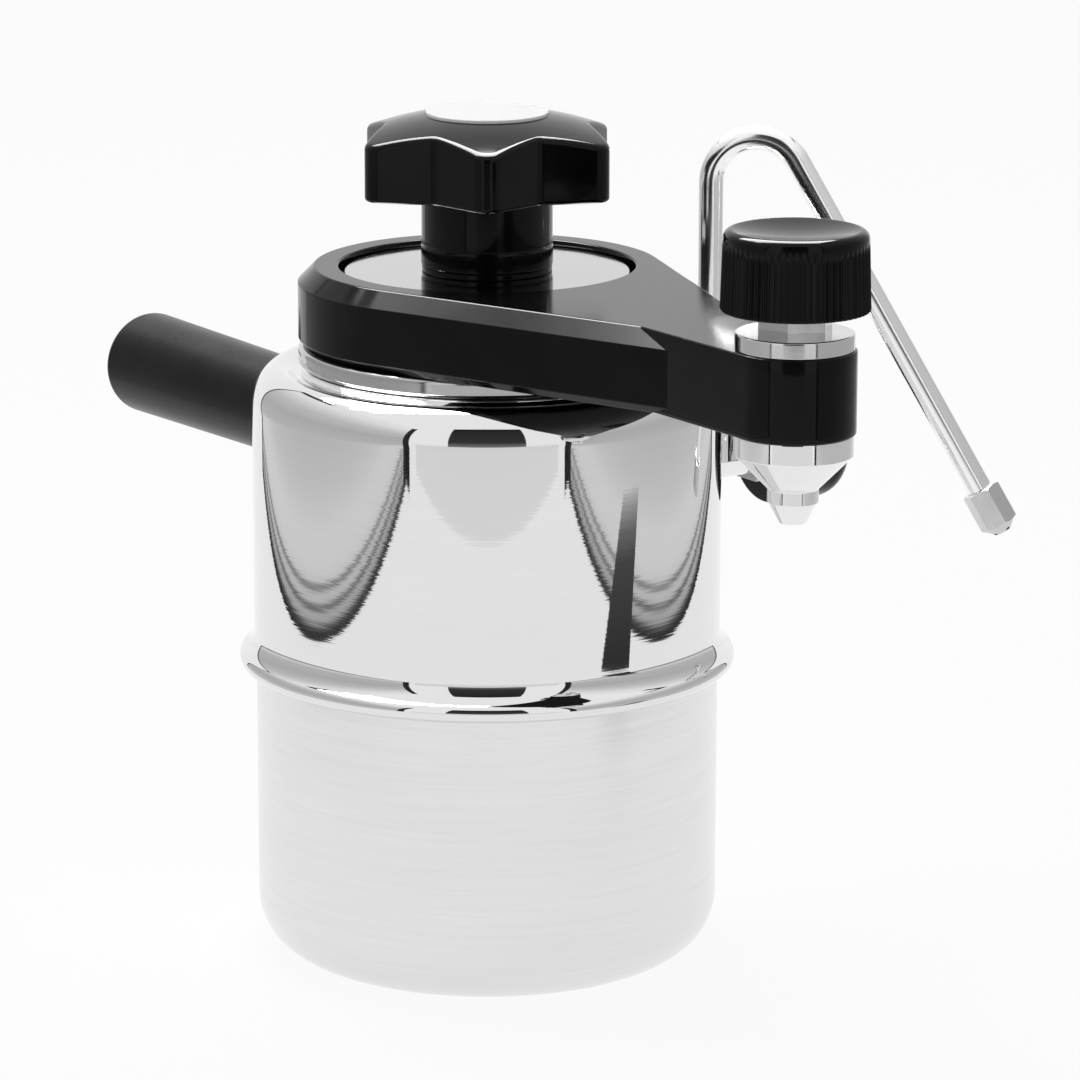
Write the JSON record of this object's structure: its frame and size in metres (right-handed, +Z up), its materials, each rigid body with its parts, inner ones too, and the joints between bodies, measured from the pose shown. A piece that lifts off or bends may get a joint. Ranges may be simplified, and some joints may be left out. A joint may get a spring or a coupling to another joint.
{
  "type": "stovetop espresso maker",
  "caption": "Steel stovetop boiler with a knob-clamped lid, a black arm carrying a coffee tap, a swivelling steam wand with its own valve, and a side handle.",
  "frame": {"origin": "centre of the boiler's foot, on the hob", "axes": "+Z up along the boiler's axis, +X along the arm to the coffee tap, +Y along the steam valve"},
  "size_m": [0.3075, 0.1866, 0.2118],
  "materials": {
    "polished_steel": "polished, with fine drawing lines",
    "chrome_fitting": "turned and plated",
    "black_moulding": "glossy thermoset moulding",
    "black_grip": "satin thermoset moulding",
    "seal_rubber": "matt",
    "brass_fitting": "turned",
    "gland_packing": "matt",
    "pale_disc": "smooth, bare"
  },
  "bodies": {
    "boiler": {"lower_shell": "polished_steel", "upper_shell": "polished_steel", "neck_ring": "chrome_fitting", "bridge_bar": "polished_steel", "clamp_stud": "polished_steel", "coffee_basket": "polished_steel", "basket_plate": "polished_steel", "rim_seal": "seal_rubber", "top_screen": "polished_steel", "steam_valve_body": "chrome_fitting", "steam_gland_nut": "chrome_fitting", "steam_packing": "gland_packing", "wand_seal": "seal_rubber", "wand_union_nut": "chrome_fitting", "handle_boss": "chrome_fitting", "handle_rod": "polished_steel", "handle_grip": "black_grip", "safety_body": "brass_fitting", "safety_cap": "brass_fitting", "relief_spring": "polished_steel"},
    "lid": {"lid_plate": "chrome_fitting", "lid_seal": "seal_rubber", "arm": "black_moulding", "arm_screws": "polished_steel", "coffee_duct": "polished_steel", "tap_body": "chrome_fitting", "tap_gland_nut": "chrome_fitting", "tap_packing": "gland_packing", "coffee_nozzle": "chrome_fitting"},
    "thrust_washer": {"knob_washer": "black_moulding"},
    "clamp_knob": {"star_knob": "black_moulding", "knob_insert": "brass_fitting", "knob_disc": "pale_disc"},
    "tap_valve": {"tap_plug": "seal_rubber"},
    "tap_handle": {"tap_spindle": "polished_steel", "tap_knob": "black_moulding"},
    "steam_valve": {"steam_plug": "seal_rubber"},
    "steam_handle": {"steam_spindle": "polished_steel", "steam_knob": "black_moulding"},
    "wand": {"steam_wand": "chrome_fitting", "wand_swivel": "polished_steel", "wand_tip": "chrome_fitting"},
    "relief": {"relief_plug": "polished_steel"}
  },
  "joints": [
    {"name": "lid_lift", "type": "slide", "parent": "boiler", "child": "lid", "axis": [0, 0, 1], "range_m": [0, 0.06]},
    {"name": "knob_rise", "type": "slide", "parent": "lid", "child": "thrust_washer", "axis": [0, 0, 1], "range_m": [0, 0.0061]},
    {"name": "knob_turn", "type": "hinge", "parent": "thrust_washer", "child": "clamp_knob", "pos_m": [0, 0, 0.174], "axis": [0, 0, 1], "range_deg": [0, 1440]},
    {"name": "tap_rise", "type": "slide", "parent": "lid", "child": "tap_valve", "axis": [0, 0, 1], "range_m": [0, 0.00226]},
    {"name": "tap_turn", "type": "hinge", "parent": "tap_valve", "child": "tap_handle", "pos_m": [0.1248, 0, 0.183], "axis": [0, 0, 1], "range_deg": [0, 540]},
    {"name": "steam_rise", "type": "slide", "parent": "boiler", "child": "steam_valve", "axis": [0, 1, 0], "range_m": [0, 0.00226]},
    {"name": "steam_turn", "type": "hinge", "parent": "steam_valve", "child": "steam_handle", "pos_m": [0, 0.0855, 0.1165], "axis": [0, 1, 0], "range_deg": [0, 540]},
    {"name": "wand_swing", "type": "hinge", "parent": "boiler", "child": "wand", "pos_m": [0, 0.0679, 0.1275], "axis": [0, 0, 1], "range_deg": [-55, 100]},
    {"name": "relief_lift", "type": "slide", "parent": "boiler", "child": "relief", "axis": [-0.7071, 0.7071, 0], "range_m": [0, 0.0015], "stiffness_N_per_m": 2000, "springref_m": -0.0015, "deforming": ["relief_spring"]}
  ],
  "couplings": [
    {"joint": "knob_rise", "follows": "knob_turn", "m_per_rad": 0.00023873},
    {"joint": "tap_rise", "follows": "tap_turn", "m_per_rad": 0.00023873},
    {"joint": "steam_rise", "follows": "steam_turn", "m_per_rad": 0.00023873}
  ]
}
